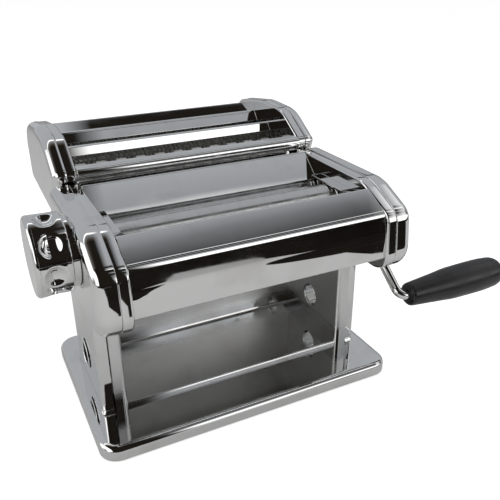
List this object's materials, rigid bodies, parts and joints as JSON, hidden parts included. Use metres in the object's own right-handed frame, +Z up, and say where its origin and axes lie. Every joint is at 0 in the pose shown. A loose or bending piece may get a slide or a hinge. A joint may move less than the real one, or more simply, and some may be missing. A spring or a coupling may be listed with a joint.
{
  "type": "pasta roller machine",
  "caption": "Hand-cranked pasta sheet roller on a box stand, with a thickness knob on the left, a crank with grip on the right and a lift-off twin cutter behind.",
  "frame": {"origin": "middle of the pressed base in plan, at the level that its feet stand on", "axes": "+X along the rollers towards the crank, +Y from the front cover back to the cutter, +Z up"},
  "size_m": [0.2964, 0.2008, 0.154],
  "materials": {
    "chrome_plate": "polished",
    "steel": "satin",
    "anodised_aluminium": "satin",
    "nylon": "matte",
    "grip_plastic": "satin",
    "rubber_feet": "matte"
  },
  "bodies": {
    "machine": {"base_plate": "chrome_plate", "base_feet": "rubber_feet", "stand_tray": "chrome_plate", "leg_left": "chrome_plate", "leg_right": "chrome_plate", "clamp_tube_left": "chrome_plate", "clamp_tube_right": "chrome_plate", "stand_screws": "steel", "side_frame_left": "chrome_plate", "side_frame_right": "chrome_plate", "end_cover_left": "chrome_plate", "end_cover_right": "chrome_plate", "front_cover": "chrome_plate", "rear_cover": "chrome_plate", "hopper_panel": "chrome_plate", "feed_guide_left": "chrome_plate", "feed_guide_right": "chrome_plate", "rear_scraper": "nylon", "tie_rods": "steel", "tie_rod_nuts": "steel", "roller_bushes": "nylon", "locating_ring": "chrome_plate", "knob_bush": "nylon"},
    "drive_roller": {"rear_roller": "anodised_aluminium", "rear_roller_gear": "steel"},
    "carriers": {"carrier_left": "nylon", "carrier_right": "nylon", "carrier_bridge": "steel", "front_scraper": "nylon"},
    "moving_roller": {"front_roller": "anodised_aluminium", "front_roller_gear": "steel"},
    "knob_spindle": {"knob_shaft": "steel", "knob_cam": "steel", "knob_end_screw": "steel", "knob_spring": "steel"},
    "knob": {"knob": "chrome_plate", "knob_cap": "chrome_plate", "locating_pin": "steel"},
    "crank": {"crank_arm": "chrome_plate", "grip_clip": "steel"},
    "grip": {"crank_grip": "grip_plastic"},
    "cutter": {"cutter_frame_left": "chrome_plate", "cutter_frame_right": "chrome_plate", "cutter_cover_left": "chrome_plate", "cutter_cover_right": "chrome_plate", "cutter_front_bar": "chrome_plate", "cutter_divider": "chrome_plate", "cutter_rear_cover": "chrome_plate", "cutter_tie_rods": "steel", "cutter_bushes": "nylon", "wide_comb": "nylon", "narrow_comb": "nylon"},
    "wide_front": {"wide_roller_front": "anodised_aluminium", "wide_gear_front": "steel"},
    "wide_rear": {"wide_roller_rear": "anodised_aluminium", "wide_gear_rear": "steel"},
    "narrow_front": {"narrow_roller_front": "anodised_aluminium", "narrow_gear_front": "steel"},
    "narrow_rear": {"narrow_roller_rear": "anodised_aluminium", "narrow_gear_rear": "steel"}
  },
  "joints": [
    {"name": "drive_spin", "type": "hinge", "parent": "machine", "child": "drive_roller", "pos_m": [0, 0.014, 0.1075], "axis": [1, 0, 0], "continuous": true},
    {"name": "crank_pull", "type": "slide", "parent": "drive_roller", "child": "crank", "axis": [1, 0, 0], "range_m": [0, 0.03]},
    {"name": "grip_spin", "type": "hinge", "parent": "crank", "child": "grip", "pos_m": [0.15, -0.0574, 0.05271], "axis": [1, 0, 0], "continuous": true},
    {"name": "knob_turn", "type": "hinge", "parent": "machine", "child": "knob_spindle", "pos_m": [-0.1, -0.0215, 0.1123], "axis": [1, 0, 0], "range_deg": [0, 324]},
    {"name": "knob_pull", "type": "slide", "parent": "knob_spindle", "child": "knob", "axis": [-1, 0, 0], "range_m": [0, 0.004], "stiffness_N_per_m": 900, "springref_m": -0.001, "deforming": ["knob_spring"]},
    {"name": "carrier_slide", "type": "slide", "parent": "machine", "child": "carriers", "axis": [0, 1, 0], "range_m": [0, 0.0042]},
    {"name": "front_roller_spin", "type": "hinge", "parent": "carriers", "child": "moving_roller", "pos_m": [0, -0.0188, 0.1075], "axis": [1, 0, 0], "continuous": true},
    {"name": "cutter_lift", "type": "slide", "parent": "machine", "child": "cutter", "axis": [0, 0, 1], "range_m": [0, 0.08]},
    {"name": "wide_drive_spin", "type": "hinge", "parent": "cutter", "child": "wide_front", "pos_m": [0, 0.0427, 0.1225], "axis": [1, 0, 0], "continuous": true},
    {"name": "wide_follow_spin", "type": "hinge", "parent": "cutter", "child": "wide_rear", "pos_m": [0, 0.0592, 0.1225], "axis": [1, 0, 0], "continuous": true},
    {"name": "narrow_drive_spin", "type": "hinge", "parent": "cutter", "child": "narrow_rear", "pos_m": [0, 0.095, 0.1225], "axis": [1, 0, 0], "continuous": true},
    {"name": "narrow_follow_spin", "type": "hinge", "parent": "cutter", "child": "narrow_front", "pos_m": [0, 0.0785, 0.1225], "axis": [1, 0, 0], "continuous": true}
  ],
  "couplings": [
    {"joint": "front_roller_spin", "follows": "drive_spin", "ratio": -1},
    {"joint": "carrier_slide", "follows": "knob_turn", "m_per_rad": 0.00074272},
    {"joint": "wide_follow_spin", "follows": "wide_drive_spin", "ratio": -1},
    {"joint": "narrow_follow_spin", "follows": "narrow_drive_spin", "ratio": -1}
  ]
}
